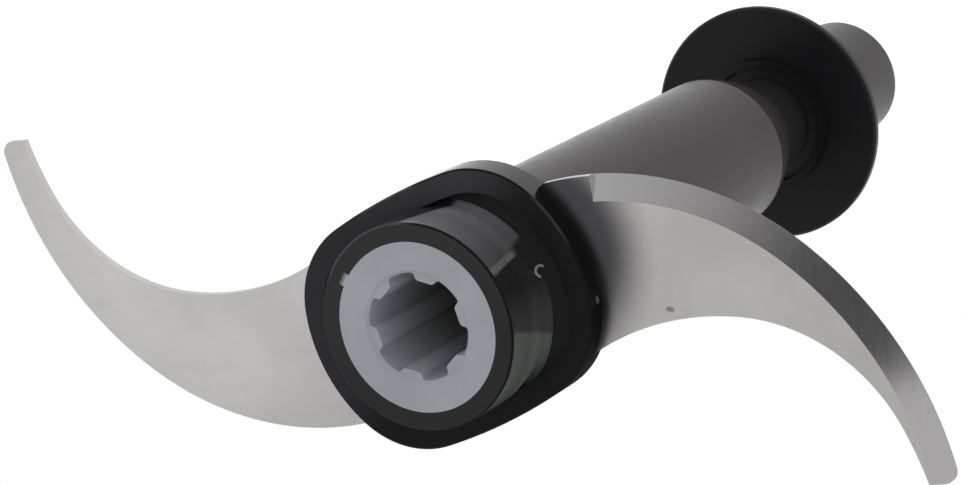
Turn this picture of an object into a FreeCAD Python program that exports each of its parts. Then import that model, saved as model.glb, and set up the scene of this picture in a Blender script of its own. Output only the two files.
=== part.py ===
import FreeCAD, Part
import math
import os

# Food processor blade: two curved knives in a moulded hub on a tall drive stem.
# Sizes are in millimetres. The part is drawn with its shaft along z, the open
# drive end at z = 0, x towards one knife tip, then laid down on its side.

# Drive socket
insert_radius = 13.5
insert_sleeve_wall = 2.0
spline_root_radius = 8.55
spline_ridge_height = 1.3
spline_ridge_tip_width = 3.0
spline_ridge_base_width = 4.4
spline_tip_round = 0.8
spline_corner_round = 0.6
spline_count = 6
spline_turn = 43.5
socket_chamfer = 0.5
key_height = 0.9
key_width = 2.1
key_length = 4.0
key_turn = -150.0

# Hub
boss_wall = 3.0
boss_edge_chamfer = 0.3
boss_root_flare = 0.8
flange_front = 9.0
flange_thickness = 6.5
flange_radius = 25.3
flange_flat_distance = 19.6
flange_flat_bow = 95.0
flange_corner_radius = 15.0
flange_turn = 63.4
flange_edge_chamfer = 0.3
flange_rear_chamfer = 1.2
rim_width = 3.7
dish_depth = 2.6
hub_floor = 1.5
spigot_length = 12.5
spigot_wall = 2.3

# Knives
blade_thickness = 1.3
blade_cover = 0.7
belly_start_reach = 17.2
belly_start_drop = 20.15
belly_heading = -15.6
belly_root_radius = 48.8
belly_root_sweep = 51.0
belly_end_radius = 57.6
belly_end_sweep = 41.0
tip_corner_radius = 2.0
tip_corner_sweep = 101.0
tip_flat_length = 2.15
tip_back_turn = 73.9
back_end_radius = 59.4
back_end_sweep = 8.6
back_middle_radius = 29.2
back_middle_sweep = 61.3
back_root_radius = 42.9
back_root_sweep = 35.0
bevel_width = 4.0
bevel_start_heading = -6.3
bevel_run_out = 12.0
edge_land = 0.12
tang_wall = 1.6
tang_from = -60.0
tang_to = 20.0
tang_hole_radius = 1.7
tang_hole_turns = (-38.0, -8.0)

# Stem
tube_base_radius = 15.3
tube_end_radius = 13.25
tube_length = 89.9
tube_wall = 2.2
nose_length = 10.6
nose_end_radius = 9.7
nose_bulge = 0.4
stem_spigot_radius = 6.4

# Splash disc and top cap
sleeve_radius = 8.2
sleeve_length = 11.7
disc_radius = 20.9
disc_thickness = 1.8
disc_edge_chamfer = 0.4
collar_radius = 11.7
collar_wall = 1.2
collar_height = 1.5
cap_radius = 10.7
cap_length = 32.4
cap_end_wall = 3.5
cap_lead_chamfer = 1.0

# How far a cutting tool, or a piece about to be fused, runs past the face it meets
overlap = 1.0

# Places that follow from the sizes above
boss_radius = insert_radius + boss_wall
dish_floor = flange_front + dish_depth
flange_rear = flange_front + flange_thickness
barrel_end = flange_rear - hub_floor
spigot_end = flange_rear + spigot_length
insert_sleeve_radius = spline_root_radius + insert_sleeve_wall
spigot_radius = insert_sleeve_radius + spigot_wall
blade_front = dish_floor + blade_cover
blade_rear = blade_front + blade_thickness
belly_start = FreeCAD.Vector(belly_start_reach, -belly_start_drop, 0)
belly_arcs = ((belly_root_radius, belly_root_sweep), (belly_end_radius, belly_end_sweep))
tip_arcs = ((tip_corner_radius, tip_corner_sweep),)
back_arcs = (
    (back_end_radius, -back_end_sweep),
    (back_middle_radius, -back_middle_sweep),
    (back_root_radius, -back_root_sweep))
tang_radius = insert_radius + tang_wall
tang_hole_ring = 0.5 * (tang_radius + flange_radius)
tube_end = flange_rear + tube_length
nose_end = tube_end + nose_length
disc_front = nose_end + sleeve_length
disc_rear = disc_front + disc_thickness
cap_end = disc_rear + cap_length
stem_spigot_end = cap_end - cap_end_wall
origin = FreeCAD.Vector(0, 0, 0)
shaft = FreeCAD.Vector(0, 0, 1)


def cylinder(radius, start, end):
    return Part.makeCylinder(radius, end - start, FreeCAD.Vector(0, 0, start))


def cone(start_radius, end_radius, start, end):
    return Part.makeCone(start_radius, end_radius, end - start, FreeCAD.Vector(0, 0, start))


def spot(x, y, z=0.0):
    return FreeCAD.Vector(x, y, z)


def polar(radius, degrees, z=0.0):
    turn = math.radians(degrees)
    return FreeCAD.Vector(radius * math.cos(turn), radius * math.sin(turn), z)


def arc_between(centre, radius, start, end):
    points = [centre + polar(radius, a) for a in (start, 0.5 * (start + end), end)]
    return Part.Arc(*points).toShape()


def prism(edges, start, end):
    face = Part.Face(Part.Wire(edges))
    face.translate(FreeCAD.Vector(0, 0, start))
    return face.extrude(FreeCAD.Vector(0, 0, end - start))


def round_edges(solid, radius, keep):
    chosen = [edge for edge in solid.Edges if keep(edge)]
    return solid.makeFillet(radius, chosen)


def chamfer_edges(solid, size, keep):
    chosen = [edge for edge in solid.Edges if keep(edge)]
    return solid.makeChamfer(size, chosen)


def lies_at(edge, height):
    box = edge.BoundBox
    return abs(box.ZMin - height) < 1e-4 and abs(box.ZMax - height) < 1e-4


# Lemon outline of the flange: two round ends and two slightly bowed flats
def flange_outline(inset):
    end_radius = flange_radius - inset
    bow = flange_flat_bow - inset
    corner = flange_corner_radius - inset
    bow_centre = flange_flat_bow - flange_flat_distance
    reach = flange_radius - flange_corner_radius
    span = flange_flat_bow - flange_corner_radius
    along = (span ** 2 - bow_centre ** 2 - reach ** 2) / (2 * bow_centre)
    across = math.sqrt(reach ** 2 - along ** 2)
    end_angle = math.degrees(math.atan2(across, along))
    bow_angle = math.degrees(math.atan2(across, along + bow_centre))
    edges = []
    for side in (flange_turn, flange_turn + 180.0):
        first = polar(reach, side - end_angle)
        second = polar(reach, side + end_angle)
        middle = polar(-bow_centre, side)
        edges.append(arc_between(first, corner, side - end_angle, side - bow_angle))
        edges.append(arc_between(middle, bow, side - bow_angle, side + bow_angle))
        edges.append(arc_between(second, corner, side + bow_angle, side + end_angle))
        last = side + 180.0 - end_angle
        edges.append(arc_between(origin, end_radius, side + end_angle, last))
    return edges


# Outer body of the drive insert, without its splined bore: the barrel with its
# locating key, and the thinner sleeve that runs on inside the hub's spigot
def insert_body():
    barrel = cylinder(insert_radius, 0, barrel_end)
    tail = cylinder(insert_sleeve_radius, barrel_end, spigot_end)
    inner = spot(insert_radius - overlap, -0.5 * key_width)
    key = Part.makeBox(overlap + key_height, key_width, key_length, inner)
    key.rotate(origin, shaft, key_turn)
    return barrel.fuse(tail).fuse(key).removeSplitter()


# Straight bar with the trapezoid section of one drive ridge, its tip rounded
def spline_ridge():
    tip = spline_root_radius - spline_ridge_height
    outer = spline_root_radius + overlap
    slope = 0.5 * (spline_ridge_base_width - spline_ridge_tip_width) / spline_ridge_height
    half_tip = 0.5 * spline_ridge_tip_width
    half_base = half_tip + slope * (outer - tip)
    corners = [spot(tip, -half_tip), spot(outer, -half_base), spot(outer, half_base)]
    corners = corners + [spot(tip, half_tip), spot(tip, -half_tip)]
    sides = [Part.makeLine(corners[i], corners[i + 1]) for i in range(4)]
    ridge = prism(sides, -overlap, spigot_end + overlap)
    return round_edges(ridge, spline_tip_round, is_ridge_tip_edge)


def is_ridge_tip_edge(edge):
    box = edge.BoundBox
    tip_side = box.XMax < spline_root_radius - 0.5 * spline_ridge_height
    return tip_side and box.ZLength > spigot_end


def is_bore_corner_edge(edge):
    middle = edge.BoundBox.Center
    at_root = abs(math.hypot(middle.x, middle.y) - spline_root_radius) < 1e-3
    return at_root and edge.BoundBox.ZLength > spigot_end


# The drive bore as a solid: a round bar with six straight grooves, where the
# insert's ridges stand, and rounded lips that soften the ridges' roots
def spline_core():
    core = cylinder(spline_root_radius, -overlap, spigot_end + overlap)
    for number in range(spline_count):
        ridge = spline_ridge()
        ridge.rotate(origin, shaft, spline_turn + 360.0 * number / spline_count)
        core = core.cut(ridge)
    return round_edges(core, spline_corner_round, is_bore_corner_edge)


def drive_insert():
    mouth = cone(spline_root_radius + socket_chamfer, spline_root_radius, 0, socket_chamfer)
    return insert_body().cut(spline_core()).cut(mouth)


# Runs a chain of tangent arcs, left for a positive sweep and right for a negative
# one, and gives its edges, its end, its last heading and its arc centres
def arc_chain(start, heading, arcs):
    edges = []
    centres = []
    for radius, sweep in arcs:
        side = math.copysign(90.0, sweep)
        centre = start + polar(radius, heading + side)
        edges.append(arc_between(centre, radius, heading - side, heading + sweep - side))
        centres.append((centre, radius, heading, heading + sweep))
        heading = heading + sweep
        start = centre + polar(radius, heading - side)
    return edges, start, heading, centres


# Flat stamping of one knife with its tang: out along the belly, round the tip
# and home along the hollow back
def blade_outline():
    belly, tip_start, heading, centres = arc_chain(belly_start, belly_heading, belly_arcs)
    tip, tip_end, heading, unused = arc_chain(tip_start, heading, tip_arcs)
    back_start = tip_end + polar(tip_flat_length, heading)
    back, root, heading, unused = arc_chain(back_start, heading + tip_back_turn, back_arcs)
    first = polar(tang_radius, tang_from)
    last = polar(tang_radius, tang_to)
    edges = [Part.makeLine(first, belly_start)] + belly + tip
    edges = edges + [Part.makeLine(tip_end, back_start)] + back
    edges.append(Part.makeLine(root, last))
    edges.append(arc_between(origin, tang_radius, tang_to, tang_from))
    return edges, centres


# Steel that grinding takes off along the belly: one turned wedge for each arc
# of the belly, with the last one run out past the tip
def grinding(centres):
    slope = (blade_thickness - edge_land) / bevel_width
    wedges = []
    for centre, radius, start, end in centres:
        start = max(start, bevel_start_heading)
        if end == centres[-1][3]:
            end = end + bevel_run_out
        inside = radius - bevel_width - overlap
        outside = radius + bevel_width
        low = blade_front - slope * overlap
        high = blade_front + slope * 2.0 * bevel_width
        corners = [spot(inside, 0, low), spot(outside, 0, low), spot(outside, 0, high)]
        face = Part.Face(Part.makePolygon(corners + corners[:1]))
        face.rotate(origin, shaft, start - 90.0)
        face.translate(centre)
        wedges.append(face.revolve(centre, shaft, end - start))
    return wedges


def blade(rear_ground):
    outline, centres = blade_outline()
    steel = prism(outline, blade_front, blade_rear)
    for turn in tang_hole_turns:
        hole = cylinder(tang_hole_radius, blade_front - overlap, blade_rear + overlap)
        hole.translate(polar(tang_hole_ring, turn))
        steel = steel.cut(hole)
    for wedge in grinding(centres):
        if rear_ground:
            middle = spot(0, 0, 0.5 * (blade_front + blade_rear))
            wedge = wedge.mirror(middle, shaft)
        steel = steel.cut(wedge)
    return steel


def blade_ground_under():
    return blade(False)


def blade_ground_over():
    knife = blade(True)
    knife.rotate(origin, shaft, 180.0)
    return knife


# Black hub moulded around the insert and the two tangs
def drive_hub():
    flange = prism(flange_outline(0.0), flange_front, flange_rear)
    flange = chamfer_edges(flange, flange_edge_chamfer, lambda edge: lies_at(edge, flange_front))
    flange = chamfer_edges(flange, flange_rear_chamfer, lambda edge: lies_at(edge, flange_rear))
    dish = prism(flange_outline(rim_width), flange_front - overlap, dish_floor)
    boss = cylinder(boss_radius, 0, dish_floor + overlap)
    boss = chamfer_edges(boss, boss_edge_chamfer, lambda edge: lies_at(edge, 0))
    flare_start = dish_floor - boss_root_flare
    flare = cone(boss_radius, boss_radius + boss_root_flare, flare_start, dish_floor)
    spigot = cylinder(spigot_radius, flange_rear - overlap, spigot_end)
    body = flange.cut(dish).fuse(boss).fuse(flare).fuse(spigot).removeSplitter()
    for piece in (insert_body(), blade_ground_under(), blade_ground_over()):
        body = body.cut(piece)
    return body


# Domed end of the stem, swept from the tube's end down to the disc's sleeve
def stem_nose():
    foot = spot(tube_end_radius, 0, tube_end)
    tip = spot(nose_end_radius, 0, nose_end)
    slant = tip - foot
    outward = FreeCAD.Vector(slant.z, 0, -slant.x).normalize()
    crown = (foot + tip) * 0.5 + outward * nose_bulge
    corners = [tip, spot(0, 0, nose_end), spot(0, 0, tube_end), foot]
    sides = [Part.makeLine(corners[i], corners[i + 1]) for i in range(3)]
    profile = Part.Face(Part.Wire([Part.Arc(foot, crown, tip).toShape()] + sides))
    return profile.revolve(origin, shaft, 360.0)


# Grey tapered tube, closed by its nose, with the spigot that holds disc and cap
def stem_tube():
    body = cone(tube_base_radius, tube_end_radius, flange_rear, tube_end)
    body = body.fuse(stem_nose())
    body = body.fuse(cylinder(stem_spigot_radius, nose_end - overlap, stem_spigot_end))
    seat = cylinder(spigot_radius, flange_rear, spigot_end)
    hollow = cylinder(tube_end_radius - tube_wall, spigot_end, tube_end - tube_wall)
    return body.cut(seat).cut(hollow).removeSplitter()


# Thin black disc that keeps food off the lid bearing, on a sleeve of its own
# that seats on the stem's nose, with a raised ring round the sleeve
def splash_disc():
    disc = cylinder(disc_radius, disc_front, disc_rear)
    disc = chamfer_edges(disc, disc_edge_chamfer, lambda edge: edge.BoundBox.ZLength < 1e-4)
    collar_front = disc_front - collar_height
    collar = cylinder(collar_radius, collar_front, disc_front + 0.5 * disc_thickness)
    well = cylinder(collar_radius - collar_wall, collar_front - overlap, disc_front)
    sleeve = cylinder(sleeve_radius, nose_end, disc_rear)
    hole = cylinder(stem_spigot_radius, nose_end - overlap, disc_rear + overlap)
    return disc.fuse(collar).cut(well).fuse(sleeve).cut(hole).removeSplitter()


# Grey cap pressed on the spigot; it runs in the bowl's lid
def top_cap():
    cap = cylinder(cap_radius, disc_rear, cap_end)
    cap = chamfer_edges(cap, cap_lead_chamfer, lambda edge: lies_at(edge, cap_end))
    return cap.cut(cylinder(stem_spigot_radius, disc_rear, stem_spigot_end))


# Lays the part down: shaft along +Y, drive end facing -Y
def export(shape, name):
    shape = shape.copy()
    shape.rotate(origin, FreeCAD.Vector(1, 0, 0), -90.0)
    shape.exportStep("parts/" + name + ".step")


os.makedirs("parts", exist_ok=True)
export(drive_hub(), "drive_hub")
export(drive_insert(), "drive_insert")
export(blade_ground_under(), "blade_ground_under")
export(blade_ground_over(), "blade_ground_over")
export(stem_tube(), "stem_tube")
export(splash_disc(), "splash_disc")
export(top_cap(), "top_cap")
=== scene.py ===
import bmesh
import bpy
import math
from mathutils import Matrix, Vector


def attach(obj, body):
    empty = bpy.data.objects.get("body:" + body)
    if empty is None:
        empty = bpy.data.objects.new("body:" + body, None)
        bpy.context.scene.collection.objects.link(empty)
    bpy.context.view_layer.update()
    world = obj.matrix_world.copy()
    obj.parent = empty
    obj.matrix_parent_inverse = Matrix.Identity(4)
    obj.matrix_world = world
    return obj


# Food processor blade lying on its side, drive socket towards the camera. The shaft runs along +Y
# from the drive face at the origin, and +X points to the tip of the knife with the visible bevel.
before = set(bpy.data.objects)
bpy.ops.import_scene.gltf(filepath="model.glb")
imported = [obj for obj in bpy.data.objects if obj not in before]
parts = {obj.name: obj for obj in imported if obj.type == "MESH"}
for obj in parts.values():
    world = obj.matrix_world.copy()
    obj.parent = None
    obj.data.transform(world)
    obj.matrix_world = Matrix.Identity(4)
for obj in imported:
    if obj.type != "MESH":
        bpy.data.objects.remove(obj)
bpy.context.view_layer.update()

# Drive hub: black moulding that holds the insert and the tangs of both knives. Its skin is glossy, as
# from a polished mould, with faint clouds and a very fine grain.
HUB_BLACK = (0.0030, 0.0029, 0.0034)
HUB_CLOUD = (0.0050, 0.0048, 0.0056)
HUB_GLOSS = (0.12, 0.18)
HUB_GRAIN = 1500.0
FINE_GRAIN_DEPTH = 0.00001
CLOUD_SCALE = 70.0
HAZE_SCALE = 180.0
RISING = (0.0, 1.0)
FALLING = (1.0, 0.0)
NOISE_BAND = (0.35, 0.65)


def new_material(name):
    material = bpy.data.materials.new(name)
    material.use_nodes = True
    tree = material.node_tree
    return material, tree, tree.nodes["Principled BSDF"]


def joined(tree, operation, first, second):
    node = tree.nodes.new("ShaderNodeMath")
    node.operation = operation
    for socket, value in zip(node.inputs, (first, second)):
        if isinstance(value, (int, float)):
            socket.default_value = value
        else:
            tree.links.new(value, socket)
    return node.outputs["Value"]


def place_on_piece(tree):
    place = tree.nodes.new("ShaderNodeTexCoord")
    split = tree.nodes.new("ShaderNodeSeparateXYZ")
    tree.links.new(place.outputs["Object"], split.inputs["Vector"])
    return split.outputs["X"], split.outputs["Y"], split.outputs["Z"]


def radius_of(tree, sideways, upward):
    squares = joined(
        tree, "ADD", joined(tree, "MULTIPLY", sideways, sideways),
        joined(tree, "MULTIPLY", upward, upward))
    return joined(tree, "SQRT", squares, 0.0)


def object_noise(tree, scale, detail, roughness, stretch=(1.0, 1.0, 1.0)):
    place = tree.nodes.new("ShaderNodeTexCoord")
    mapping = tree.nodes.new("ShaderNodeMapping")
    mapping.inputs["Scale"].default_value = stretch
    noise = tree.nodes.new("ShaderNodeTexNoise")
    noise.inputs["Scale"].default_value = scale
    noise.inputs["Detail"].default_value = detail
    noise.inputs["Roughness"].default_value = roughness
    tree.links.new(place.outputs["Object"], mapping.inputs["Vector"])
    tree.links.new(mapping.outputs["Vector"], noise.inputs["Vector"])
    return noise.outputs["Fac"]


# A value that crosses band from its first to its second number gives levels from first to second.
def ranged(tree, value, levels, band=NOISE_BAND, soft=False):
    spread = tree.nodes.new("ShaderNodeMapRange")
    spread.interpolation_type = "SMOOTHSTEP" if soft else "LINEAR"
    spread.inputs["From Min"].default_value = band[0]
    spread.inputs["From Max"].default_value = band[1]
    spread.inputs["To Min"].default_value = levels[0]
    spread.inputs["To Max"].default_value = levels[1]
    tree.links.new(value, spread.inputs["Value"])
    return spread.outputs["Result"]


def mixed_colour(tree, factor, first, second):
    mix = tree.nodes.new("ShaderNodeMix")
    mix.data_type = "RGBA"
    for socket, value in ((mix.inputs["A"], first), (mix.inputs["B"], second)):
        if isinstance(value, tuple):
            socket.default_value = (*value, 1.0)
        else:
            tree.links.new(value, socket)
    tree.links.new(factor, mix.inputs["Factor"])
    return mix.outputs["Result"]


def painted(tree, colour):
    tree.links.new(colour, tree.nodes["Principled BSDF"].inputs["Base Color"])


def bumped(tree, shader, height, distance):
    bump = tree.nodes.new("ShaderNodeBump")
    bump.inputs["Distance"].default_value = distance
    tree.links.new(height, bump.inputs["Height"])
    tree.links.new(bump.outputs["Normal"], shader.inputs["Normal"])


def moulded_plastic(name, colour, cloud_colour, gloss, specular, grain=HUB_GRAIN, depth=FINE_GRAIN_DEPTH):
    material, tree, shader = new_material(name)
    cloud = object_noise(tree, CLOUD_SCALE, detail=4.0, roughness=0.6)
    tint = mixed_colour(tree, ranged(tree, cloud, RISING), colour, cloud_colour)
    painted(tree, tint)
    haze = object_noise(tree, HAZE_SCALE, detail=3.0, roughness=0.6)
    tree.links.new(ranged(tree, haze, gloss), shader.inputs["Roughness"])
    shader.inputs["Specular IOR Level"].default_value = specular
    pebble = object_noise(tree, grain, detail=2.0, roughness=0.5)
    bumped(tree, shader, pebble, depth)
    return material, tree, tint


def dress(node, *materials):
    slots = parts[node].data.materials
    slots.clear()
    for material in materials:
        slots.append(material)


hub_black, _, _ = moulded_plastic(
    "hub_black_moulding", HUB_BLACK, HUB_CLOUD, gloss=HUB_GLOSS, specular=0.5)

# Boss wall: the same moulding with two arcs of painted reflection in grey, a wide one above and a fainter
# one below, and a pale streak of painted reflection between them. The colour is lifted towards the root as
# painted light, and the flare's skin is duller.
WALL_REFLECTION_BRIGHT = (0.200, 0.195, 0.214)
WALL_REFLECTION_FADED = (0.092, 0.090, 0.098)
WALL_REFLECTION_FAINT = (0.066, 0.069, 0.066)
WALL_REFLECTION_LOW = (0.150, 0.160, 0.152)
WALL_BLACK = (0.0240, 0.0235, 0.0238)
WALL_CLOUD = (0.0265, 0.0260, 0.0262)
WALL_ROOT_PAINTED_LIGHT = 2.2
FLARE_ROOT_PAINTED_LIGHT = 1.45
ROOT_GLOSS = (0.35, 0.45)
WALL_DEPTHS = (0.0015, 0.0115)
ROOT_PAINTED_LIGHT_BAND = (0.0055, 0.0110)

# Turns are angles about the shaft, in radians from the top towards +X. An arc's end and the streak of
# painted reflection lean, so each has its turn at the boss's front and its turn at the root.
UPPER_START = (-0.12, 0.10)
UPPER_END = (0.98, 0.79)
UPPER_FADE = (0.15, 0.90)
FAINT_TURN = (1.22, 1.55)
LOWER_START = (1.555, 1.735)
ARC_SOFTNESS = 0.06
STREAK_REFLECTION_PALE = (0.176, 0.174, 0.156)
STREAK_REFLECTION_TURN = (0.965, 0.890)
STREAK_REFLECTION_WIDTH = (0.016, 0.048)
STREAK_REFLECTION_DEPTH = (0.0070, 0.0100)


# Paints the wall's reflections into its colour, as arcs by turn about the shaft.
def painted_wall_reflections(tree, tint, root_light_gain):
    sideways, depth, upward = place_on_piece(tree)
    around = joined(tree, "ARCTAN2", sideways, upward)

    def beyond(turn):
        leaning = ranged(tree, depth, turn, WALL_DEPTHS)
        return joined(tree, "SUBTRACT", around, leaning)

    def past(turn):
        return ranged(tree, beyond(turn), RISING, (0.0, ARC_SOFTNESS), True)

    upper_arc = joined(tree, "MULTIPLY", past(UPPER_START), joined(tree, "SUBTRACT", 1.0, past(UPPER_END)))
    upper_reflection = mixed_colour(tree, ranged(tree, around, RISING, UPPER_FADE), WALL_REFLECTION_BRIGHT, WALL_REFLECTION_FADED)
    colour = mixed_colour(tree, upper_arc, tint, upper_reflection)
    colour = mixed_colour(tree, ranged(tree, around, RISING, FAINT_TURN), colour, WALL_REFLECTION_FAINT)
    colour = mixed_colour(tree, past(LOWER_START), colour, WALL_REFLECTION_LOW)
    # A pale streak of painted reflection near the upper arc's end, fading with depth.
    off_streak_reflection = joined(tree, "ABSOLUTE", beyond(STREAK_REFLECTION_TURN), 0.0)
    streak_reflection = joined(
        tree, "MULTIPLY", ranged(tree, off_streak_reflection, FALLING, STREAK_REFLECTION_WIDTH, True),
        ranged(tree, depth, FALLING, STREAK_REFLECTION_DEPTH, True))
    # Painted light: the colour is lifted towards the root, where the recess lies in shade.
    lit_towards_root = tree.nodes.new("ShaderNodeVectorMath")
    lit_towards_root.operation = "SCALE"
    tree.links.new(mixed_colour(tree, streak_reflection, colour, STREAK_REFLECTION_PALE), lit_towards_root.inputs["Vector"])
    tree.links.new(ranged(tree, depth, (1.0, root_light_gain), ROOT_PAINTED_LIGHT_BAND), lit_towards_root.inputs["Scale"])
    return lit_towards_root.outputs["Vector"]


hub_wall, wall_tree, wall_tint = moulded_plastic(
    "hub_black_wall", WALL_BLACK, WALL_CLOUD, gloss=HUB_GLOSS, specular=0.5)
painted(wall_tree, painted_wall_reflections(wall_tree, wall_tint, WALL_ROOT_PAINTED_LIGHT))
hub_root, root_tree, root_tint = moulded_plastic(
    "hub_black_root", WALL_BLACK, WALL_CLOUD, gloss=ROOT_GLOSS, specular=0.05)
painted(root_tree, painted_wall_reflections(root_tree, root_tint, FLARE_ROOT_PAINTED_LIGHT))

# Rim and dish of the hub: the same moulding with a softer skin. The rim is greyer towards the top left as
# painted light, and the floor of the dish is painted grey all over as painted light.
RIM_BLACK = (0.0100, 0.0098, 0.0102)
RIM_CLOUD = (0.0120, 0.0117, 0.0124)
RIM_PAINTED_LIGHT = (0.0390, 0.0370, 0.0425)
RIM_PAINTED_LIGHT_TOP = (0.0610, 0.0590, 0.0660)
RIM_GLOSS = (0.22, 0.30)
RIM_LEAN = 0.7
RIM_PAINTED_LIGHT_BAND = (-0.004, 0.011)
RIM_TOP_BAND = (0.010, 0.020)
DISH_PAINTED_LIGHT = (0.0370, 0.0360, 0.0380)
DISH_BAND = (0.0092, 0.0100)
hub_rim, rim_tree, rim_tint = moulded_plastic(
    "hub_black_rim", RIM_BLACK, RIM_CLOUD, gloss=RIM_GLOSS, specular=0.12)
rim_x, rim_y, rim_z = place_on_piece(rim_tree)
up_and_left = joined(rim_tree, "SUBTRACT", joined(rim_tree, "MULTIPLY", rim_z, RIM_LEAN), rim_x)
# Painted light on the rim: greyer towards the top left, and more at the top.
rim_painted_light = mixed_colour(
    rim_tree, ranged(rim_tree, rim_z, RISING, RIM_TOP_BAND, True), RIM_PAINTED_LIGHT, RIM_PAINTED_LIGHT_TOP)
rim_colour = mixed_colour(
    rim_tree, ranged(rim_tree, up_and_left, RISING, RIM_PAINTED_LIGHT_BAND, True), rim_tint, rim_painted_light)
# The dish is painted grey as painted light in its shade.
in_dish = ranged(rim_tree, rim_y, RISING, DISH_BAND)
painted(rim_tree, mixed_colour(rim_tree, in_dish, rim_colour, DISH_PAINTED_LIGHT))

# Edges of the hub: dull black where the faces of the moulding meet, with painted highlights in grey round
# the boss at the top left and round the rim at the upper right.
EDGE_HIGHLIGHT_GREY = (0.070, 0.074, 0.066)
EDGE_GLOSS = (0.50, 0.60)
FLANGE_RADIUS = 0.020
RIM_HIGHLIGHT_SHARE = 0.6
RIM_HIGHLIGHT_START = (0.65, 0.78)
RIM_HIGHLIGHT_END = (0.95, 1.15)
BOSS_HIGHLIGHT_START = (-1.25, -1.00)
BOSS_HIGHLIGHT_END = (-0.10, 0.10)


def between(tree, value, start, end):
    return joined(
        tree, "MULTIPLY", ranged(tree, value, RISING, start, True), ranged(tree, value, FALLING, end, True))


hub_edge, edge_tree, edge_tint = moulded_plastic(
    "hub_edge_painted_highlight", HUB_BLACK, HUB_CLOUD, gloss=EDGE_GLOSS, specular=0.15)
edge_x, _, edge_z = place_on_piece(edge_tree)
edge_turn = joined(edge_tree, "ARCTAN2", edge_x, edge_z)
on_rim = joined(edge_tree, "GREATER_THAN", radius_of(edge_tree, edge_x, edge_z), FLANGE_RADIUS)
rim_highlight = joined(
    edge_tree, "MULTIPLY", between(edge_tree, edge_turn, RIM_HIGHLIGHT_START, RIM_HIGHLIGHT_END),
    joined(edge_tree, "MULTIPLY", on_rim, RIM_HIGHLIGHT_SHARE))
boss_highlight = joined(
    edge_tree, "MULTIPLY", between(edge_tree, edge_turn, BOSS_HIGHLIGHT_START, BOSS_HIGHLIGHT_END),
    joined(edge_tree, "SUBTRACT", 1.0, on_rim))
# Painted highlights on the boss's edge and the rim's edge.
edge_highlight = joined(edge_tree, "ADD", rim_highlight, boss_highlight)
painted(edge_tree, mixed_colour(edge_tree, edge_highlight, edge_tint, EDGE_HIGHLIGHT_GREY))

# Faces of the hub: each facet gets the finish of the surface that it belongs to, told by its depth, its
# distance from the shaft and its slope. The flange's side has a duller finish at the lower right.
UNDER_GLOSS = (0.55, 0.65)
SKIN, WALL, RIM, EDGE, ROOT, UNDER = range(6)
FRONT_REACH = 0.0120
RIM_START = 0.0050
DISH_WALL_START = 0.0085
BOSS_REACH = 0.0173
FLARE_REACH = 0.0190
WALL_SLOPE = 0.3
FLAT_SLOPE = 0.9
UNDER_LEAN = 0.08
hub_under, _, _ = moulded_plastic(
    "hub_black_underside", RIM_BLACK, RIM_CLOUD, gloss=UNDER_GLOSS, specular=0.02)
dress("drive_hub", hub_black, hub_wall, hub_rim, hub_edge, hub_root, hub_under)
for facet in parts["drive_hub"].data.polygons:
    centre = facet.center
    reach = math.hypot(centre.x, centre.z)
    slope = abs(facet.normal.y)
    outward = facet.normal.x * centre.x + facet.normal.z * centre.z > 0.0
    low_right = centre.x > 0.0 and centre.z < UNDER_LEAN * centre.x
    in_front = centre.y < FRONT_REACH
    slanted = WALL_SLOPE < slope < FLAT_SLOPE
    if in_front and slope < WALL_SLOPE and reach < BOSS_REACH and outward:
        facet.material_index = WALL
    elif in_front and centre.y > RIM_START and slope > FLAT_SLOPE:
        facet.material_index = RIM
    elif in_front and centre.y > DISH_WALL_START and slope < WALL_SLOPE and not outward:
        facet.material_index = RIM
    elif in_front and centre.y > RIM_START and slanted and reach < FLARE_REACH:
        facet.material_index = ROOT
    elif slope < WALL_SLOPE and reach > FLANGE_RADIUS and outward and low_right:
        facet.material_index = UNDER
    elif in_front and slanted:
        facet.material_index = EDGE
    else:
        facet.material_index = SKIN

# Gate mark: a raised, whitened lip at the root of the boss, open at the lower right, such as a torn pin
# gate leaves. It is the hub's own plastic.
GATE_CENTRE = (0.01605, 0.01130, 0.00665)
GATE_FACING = (0.66, -0.71, 0.26)
GATE_RADIUS = 0.00085
GATE_LIP = 0.00024
GATE_FROM = 25.0
GATE_SWEEP = 235.0
TORN_PALE = (0.52, 0.52, 0.54)
TORN_SHADE = (0.30, 0.30, 0.31)
TORN_GLOSS = (0.45, 0.60)
TORN_GRAIN = 3000.0
gate_plastic, _, _ = moulded_plastic(
    "hub_torn_gate", TORN_PALE, TORN_SHADE, gloss=TORN_GLOSS, specular=0.4, grain=TORN_GRAIN)


def hub_mark(name, shape, finish):
    bmesh.ops.recalc_face_normals(shape, faces=shape.faces)
    mesh = bpy.data.meshes.new(name)
    shape.to_mesh(mesh)
    shape.free()
    for face in mesh.polygons:
        face.use_smooth = True
    mesh.materials.append(finish)
    mark = bpy.data.objects.new(name, mesh)
    bpy.context.scene.collection.objects.link(mark)
    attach(mark, "root")


facing = Vector(GATE_FACING).normalized()
upright = (Vector((0.0, 0.0, 1.0)) - facing * facing.z).normalized()
gate_frame = Matrix((upright.cross(facing), upright, facing)).transposed()
gate = bmesh.new()
bmesh.ops.create_circle(gate, cap_ends=True, segments=12, radius=GATE_LIP)
bmesh.ops.rotate(gate, verts=gate.verts, matrix=Matrix.Rotation(math.radians(90.0), 3, "X"))
bmesh.ops.translate(gate, verts=gate.verts, vec=(GATE_RADIUS, 0.0, 0.0))
bmesh.ops.rotate(gate, verts=gate.verts, matrix=Matrix.Rotation(math.radians(GATE_FROM), 3, "Z"))
bmesh.ops.spin(
    gate, geom=gate.faces[:], axis=(0.0, 0.0, 1.0), steps=28, angle=math.radians(GATE_SWEEP))

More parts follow.
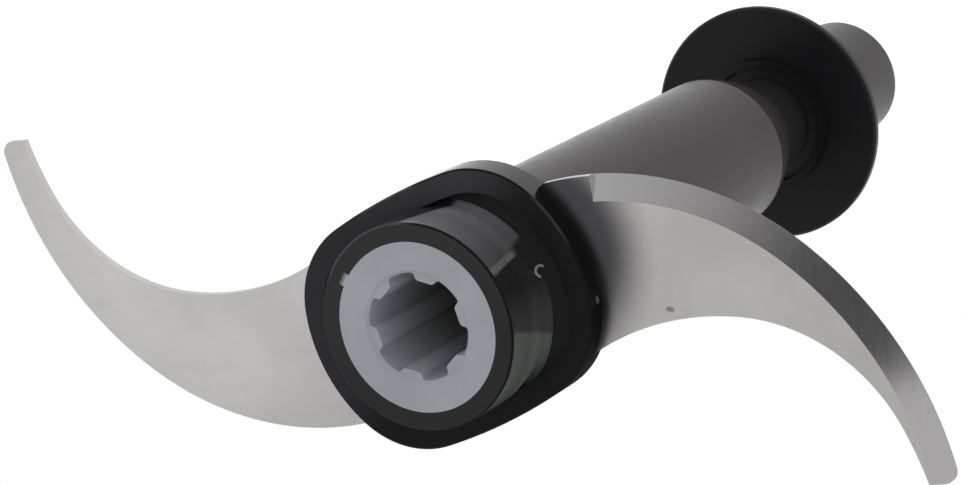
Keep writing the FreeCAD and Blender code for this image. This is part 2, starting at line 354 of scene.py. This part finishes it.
# The spin lists its faces in another order on each run, so they are put in the order of their points.
gate.verts.index_update()
gate.faces.sort(key=lambda face: sum(vert.index ** 2 for vert in face.verts))
bmesh.ops.rotate(gate, verts=gate.verts, matrix=gate_frame)
bmesh.ops.translate(gate, verts=gate.verts, vec=GATE_CENTRE)
hub_mark("gate_mark", gate, gate_plastic)

# Flash nib: a small nib on the flange beside the knife, such as a mould's parting line leaves. It is the
# hub's own plastic too, coloured grey as a painted glint.
NIB_CENTRE = (0.02509, 0.01155, 0.00245)
NIB_SIZE = (0.00028, 0.00050, 0.00075)
NIB_GLINT_GREY = (0.120, 0.120, 0.118)
NIB_GLINT_SHADE = (0.080, 0.080, 0.079)
nib_glint, _, _ = moulded_plastic(
    "hub_nib_painted_glint", NIB_GLINT_GREY, NIB_GLINT_SHADE, gloss=TORN_GLOSS, specular=0.2, grain=TORN_GRAIN)
nib = bmesh.new()
bmesh.ops.create_icosphere(nib, subdivisions=3, radius=1.0)
bmesh.ops.scale(nib, verts=nib.verts, vec=NIB_SIZE)
bmesh.ops.translate(nib, verts=nib.verts, vec=NIB_CENTRE)
hub_mark("flash_nib", nib, nib_glint)

# Drive insert: off-white bush, taken for nylon, with six drive ridges. It sits flush in the boss, located
# by a small key darkened by painted shade. Its socket takes painted shade, darker and less blue with depth.
NYLON_LIGHT = (0.560, 0.565, 0.625)
NYLON_SHADE = (0.490, 0.500, 0.560)
NYLON_GLOSS = (0.38, 0.48)
NYLON_GRAIN = 900.0
NYLON_GRAIN_DEPTH = 0.00003
SOCKET_PAINTED_SHADE = (0.360, 0.372, 0.340)
SOCKET_BAND = (0.002, 0.022)
KEY_PAINTED_SHADE = (0.130, 0.135, 0.140)
KEY_BAND = (0.01355, 0.01435)
nylon, nylon_tree, nylon_tint = moulded_plastic(
    "insert_off_white_nylon", NYLON_LIGHT, NYLON_SHADE, gloss=NYLON_GLOSS, specular=0.4,
    grain=NYLON_GRAIN, depth=NYLON_GRAIN_DEPTH)
nylon_x, nylon_y, nylon_z = place_on_piece(nylon_tree)
# Painted shade in the socket, deepening with depth.
in_socket = ranged(nylon_tree, nylon_y, RISING, SOCKET_BAND)
nylon_colour = mixed_colour(nylon_tree, in_socket, nylon_tint, SOCKET_PAINTED_SHADE)
# Painted shade on the key, at the insert's outer edge.
on_key = ranged(nylon_tree, radius_of(nylon_tree, nylon_x, nylon_z), RISING, KEY_BAND, True)
painted(nylon_tree, mixed_colour(nylon_tree, on_key, nylon_colour, KEY_PAINTED_SHADE))
dress("drive_insert", nylon)

# Knives: steel stampings 1.3 mm thick with dull brushed faces, a belly ground to an edge on one side and
# sheared edges elsewhere. The right one is darkened beside the hub by a painted reflection of the hub, and
# has one small pit.
STEEL_FACE = (0.815, 0.788, 0.782)
STEEL_FACE_DULL = (0.715, 0.693, 0.690)
STEEL_GROUND = (0.70, 0.69, 0.695)
STEEL_SHEARED = (0.625, 0.609, 0.606)
STEEL_SHEARED_DULL = (0.565, 0.551, 0.548)
# The cutting land is a dark copy of the steel, as painted shade along the edge.
STEEL_LAND_PAINTED_SHADE = (0.215, 0.210, 0.214)
STEEL_LAND_PAINTED_SHADE_DULL = (0.180, 0.176, 0.180)
SMEAR_SCALE = 45.0
SCRATCH_SCALE = 260.0
HUB_REFLECTION_DARK = (0.108, 0.106, 0.112)
HUB_REFLECTION_CENTRE = (0.0144, 0.0098)
HUB_REFLECTION_REACH = (0.0123, 0.0219)
HUB_REFLECTION_SIDE = 0.0127
HUB_REFLECTION_CUTOFF = (0.0, 0.0002)
PIT_DARK = (0.36, 0.35, 0.35)
PIT_CENTRE = (0.0369, 0.0015)
PIT_REACH = (0.0004, 0.0010)
PIT_FLATNESS = 1.6
FACE, BEVEL, SHEARED, LAND = range(4)
FACE_FLATNESS = 0.985
BEVEL_FLATNESS = 0.5
LAND_WIDTH = 0.0006


# Mask of the painted reflection of the hub, dark on the knife's face beside it.
def painted_hub_reflection(tree, sideways, through, upward):
    from_centre = radius_of(
        tree, joined(tree, "SUBTRACT", sideways, HUB_REFLECTION_CENTRE[0]),
        joined(tree, "SUBTRACT", upward, HUB_REFLECTION_CENTRE[1]))
    off_the_side = joined(
        tree, "MAXIMUM", joined(tree, "MULTIPLY", sideways, -1.0),
        joined(tree, "SUBTRACT", through, HUB_REFLECTION_SIDE))
    return joined(
        tree, "MULTIPLY", ranged(tree, from_centre, FALLING, HUB_REFLECTION_REACH, True),
        ranged(tree, off_the_side, FALLING, HUB_REFLECTION_CUTOFF))


def steel(name, light, dull, gloss, stretch, depth, reflects_hub=False):
    material, tree, shader = new_material(name)
    shader.inputs["Metallic"].default_value = 1.0
    smear = object_noise(tree, SMEAR_SCALE, detail=5.0, roughness=0.6)
    colour = mixed_colour(tree, ranged(tree, smear, RISING), light, dull)
    sideways, through, upward = place_on_piece(tree)
    if reflects_hub:
        colour = mixed_colour(tree, painted_hub_reflection(tree, sideways, through, upward), colour, HUB_REFLECTION_DARK)
    from_pit = radius_of(
        tree, joined(tree, "SUBTRACT", sideways, PIT_CENTRE[0]),
        joined(tree, "MULTIPLY", joined(tree, "SUBTRACT", upward, PIT_CENTRE[1]), PIT_FLATNESS))
    painted(tree, mixed_colour(tree, ranged(tree, from_pit, FALLING, PIT_REACH, True), colour, PIT_DARK))
    scratch = object_noise(tree, SCRATCH_SCALE, detail=3.0, roughness=0.6, stretch=stretch)
    tree.links.new(ranged(tree, scratch, gloss), shader.inputs["Roughness"])
    bumped(tree, shader, scratch, depth)
    return material


blade_face = steel(
    "blade_brushed_face", STEEL_FACE, STEEL_FACE_DULL,
    gloss=(0.30, 0.36), stretch=(1.0, 1.0, 3.0), depth=0.000002, reflects_hub=True)
blade_bevel = steel(
    "blade_ground_bevel", STEEL_GROUND, STEEL_FACE_DULL,
    gloss=(0.10, 0.14), stretch=(6.0, 1.0, 1.0), depth=0.000001)
blade_edge = steel(
    "blade_sheared_edge", STEEL_SHEARED, STEEL_SHEARED_DULL,
    gloss=(0.32, 0.42), stretch=(1.0, 8.0, 1.0), depth=0.00001)
blade_land = steel(
    "blade_cutting_land", STEEL_LAND_PAINTED_SHADE, STEEL_LAND_PAINTED_SHADE_DULL,
    gloss=(0.40, 0.50), stretch=(1.0, 8.0, 1.0), depth=0.000002)
for knife in ("blade_ground_under", "blade_ground_over"):
    dress(knife, blade_face, blade_bevel, blade_edge, blade_land)
    knife_mesh = parts[knife].data
    for facet in knife_mesh.polygons:
        flatness = abs(facet.normal.y)
        heights = [knife_mesh.vertices[corner].co.y for corner in facet.vertices]
        if flatness > FACE_FLATNESS:
            facet.material_index = FACE
        elif flatness > BEVEL_FLATNESS:
            facet.material_index = BEVEL
        elif max(heights) - min(heights) > LAND_WIDTH:
            facet.material_index = SHEARED
        else:
            facet.material_index = LAND

# Stem: tapered charcoal moulding that stands on the hub's spigot and carries the disc and the cap. Its
# skin is satin, and what it mirrors is tinted slightly red.
STEM_CHARCOAL = (0.0460, 0.0405, 0.0425)
STEM_CHARCOAL_SHADE = (0.0420, 0.0375, 0.0395)
STEM_GLOSS = (0.22, 0.28)
STEM_GRAIN = 1400.0
STEM_MIRROR_TINT = (0.98, 0.88, 0.94, 1.0)
stem_charcoal, stem_tree, _ = moulded_plastic(
    "stem_charcoal", STEM_CHARCOAL, STEM_CHARCOAL_SHADE, gloss=STEM_GLOSS, specular=0.2, grain=STEM_GRAIN)
stem_tree.nodes["Principled BSDF"].inputs["Specular Tint"].default_value = STEM_MIRROR_TINT
dress("stem_tube", stem_charcoal)

# Splash disc: thin black moulding, seated round the stem's neck by a short collar. Its lower half is
# darkened by painted shade, and its collar is a little greyer.
DISC_BLACK = (0.0110, 0.0107, 0.0122)
DISC_CLOUD = (0.0135, 0.0131, 0.0150)
DISC_LOW_PAINTED_SHADE = (0.0020, 0.0019, 0.0022)
DISC_LOW_SHADE_BAND = (-0.012, 0.004)
DISC_GLOSS = (0.28, 0.36)
DISC_GRAIN = 1300.0
COLLAR_GREY = (0.0250, 0.0245, 0.0260)
COLLAR_BAND = (0.0095, 0.0105)
disc_black, disc_tree, disc_tint = moulded_plastic(
    "disc_black_moulding", DISC_BLACK, DISC_CLOUD, gloss=DISC_GLOSS, specular=0.22, grain=DISC_GRAIN)
disc_x, _, disc_z = place_on_piece(disc_tree)
disc_colour = mixed_colour(
    disc_tree, ranged(disc_tree, disc_z, FALLING, DISC_LOW_SHADE_BAND, True), disc_tint, DISC_LOW_PAINTED_SHADE)
on_collar = ranged(disc_tree, radius_of(disc_tree, disc_x, disc_z), FALLING, COLLAR_BAND)
painted(disc_tree, mixed_colour(disc_tree, on_collar, disc_colour, COLLAR_GREY))
dress("splash_disc", disc_black)

# Top cap: moulding of the stem's charcoal, seated on the stem's spigot behind the disc, and taken for the
# journal that turns in the lid. Its skin is a little duller than the stem's.
CAP_GLOSS = (0.25, 0.32)
cap_charcoal, _, _ = moulded_plastic(
    "cap_charcoal", STEM_CHARCOAL, STEM_CHARCOAL_SHADE, gloss=CAP_GLOSS, specular=0.25, grain=STEM_GRAIN)
dress("top_cap", cap_charcoal)

# Floor: a pale sheet of paper that shows as plain white. It glows at the part from below: most behind it,
# less in front of it, least far in front, and more at the left.
FLOOR_HEIGHT = -0.0231
FLOOR_REACH = 8.0
FLOOR_GLOW = (0.545, 0.95)
FLOOR_NEAR_BAND = (0.05, 0.15)
FLOOR_FAR_SHARE = 0.4
FLOOR_FAR_BAND = (-1.0, -0.25)
FLOOR_LEFT_SHARE = 1.27
FLOOR_LEFT_BAND = (-0.062, -0.030)
floor_shape = bmesh.new()
bmesh.ops.create_grid(floor_shape, x_segments=1, y_segments=1, size=FLOOR_REACH)
bmesh.ops.translate(floor_shape, verts=floor_shape.verts, vec=(0.0, 0.0, FLOOR_HEIGHT))
floor_mesh = bpy.data.meshes.new("pale_floor")
floor_shape.to_mesh(floor_mesh)
floor_shape.free()
floor = bpy.data.objects.new("pale_floor", floor_mesh)
bpy.context.scene.collection.objects.link(floor)
paper, paper_tree, paper_shader = new_material("pale_paper")
paper_shader.inputs["Base Color"].default_value = (0.0, 0.0, 0.0, 1.0)
paper_shader.inputs["Roughness"].default_value = 0.9
paper_shader.inputs["Specular IOR Level"].default_value = 0.0
paper_shader.inputs["Emission Color"].default_value = (1.0, 1.0, 1.0, 1.0)
paper_x, paper_y, _ = place_on_piece(paper_tree)
near_glow = ranged(paper_tree, paper_y, FLOOR_GLOW, FLOOR_NEAR_BAND)
far_share = ranged(paper_tree, paper_y, (FLOOR_FAR_SHARE, 1.0), FLOOR_FAR_BAND)
left_share = ranged(paper_tree, paper_x, (FLOOR_LEFT_SHARE, 1.0), FLOOR_LEFT_BAND, True)
paper_glow = joined(
    paper_tree, "MULTIPLY", joined(paper_tree, "MULTIPLY", near_glow, far_share), left_share)
paper_seen = paper_tree.nodes.new("ShaderNodeLightPath").outputs["Is Camera Ray"]
paper_shown = joined(paper_tree, "MAXIMUM", paper_glow, paper_seen)
paper_tree.links.new(paper_shown, paper_shader.inputs["Emission Strength"])
floor_mesh.materials.append(paper)

# Studio: white surroundings behind the part, dimmer ones in front, and a wide dark spot low in front
# that the bevel mirrors. The camera itself sees plain white.
ROOM_BEHIND = 0.95
ROOM_BEHIND_BAND = (-0.25, 0.15)
ROOM_FRONT = (0.085, 0.62)
DIM_SPOT_HEIGHT = 0.10
DIM_SPOT_WIDENING = 0.42
DIM_SPOT_BAND = (0.04, 0.36)
world = bpy.data.worlds.new("studio")
bpy.context.scene.world = world
world.use_nodes = True
sky_tree = world.node_tree
sky = sky_tree.nodes["Background"]
sky.inputs["Color"].default_value = (1.0, 1.0, 1.0, 1.0)
toward = sky_tree.nodes.new("ShaderNodeTexCoord")
compass = sky_tree.nodes.new("ShaderNodeSeparateXYZ")
sky_tree.links.new(toward.outputs["Generated"], compass.inputs["Vector"])
from_spot = radius_of(
    sky_tree, joined(sky_tree, "MULTIPLY", compass.outputs["X"], DIM_SPOT_WIDENING),
    joined(sky_tree, "SUBTRACT", compass.outputs["Z"], DIM_SPOT_HEIGHT))
front_level = ranged(sky_tree, from_spot, ROOM_FRONT, DIM_SPOT_BAND, True)
behind_share = ranged(sky_tree, compass.outputs["Y"], RISING, ROOM_BEHIND_BAND, True)
front_part = joined(sky_tree, "MULTIPLY", front_level, joined(sky_tree, "SUBTRACT", 1.0, behind_share))
behind_part = joined(sky_tree, "MULTIPLY", behind_share, ROOM_BEHIND)
room_level = joined(sky_tree, "ADD", front_part, behind_part)
sky_seen = sky_tree.nodes.new("ShaderNodeLightPath").outputs["Is Camera Ray"]
sky_tree.links.new(joined(sky_tree, "MAXIMUM", room_level, sky_seen), sky.inputs["Strength"])

# Camera: the photograph's own viewpoint, found from the circles of the hub and disc and both knives.
# Its distance is worked out on the assumed size of the insert.
CAMERA_PLACE = (0.31781, -0.54050, 0.17885)
CAMERA_TURNS = (75.0776, 4.8883, 28.1701)
CAMERA_LENS = 161.08
camera_data = bpy.data.cameras.new("camera")
camera_data.sensor_fit = "HORIZONTAL"
camera_data.sensor_width = 36.0
camera_data.lens = CAMERA_LENS
camera_data.clip_start = 0.05
camera_data.clip_end = 50.0
camera = bpy.data.objects.new("camera", camera_data)
camera.location = CAMERA_PLACE
camera.rotation_euler = [math.radians(turn) for turn in CAMERA_TURNS]
bpy.context.scene.collection.objects.link(camera)
bpy.context.scene.camera = camera
bpy.context.scene.view_settings.view_transform = "Standard"
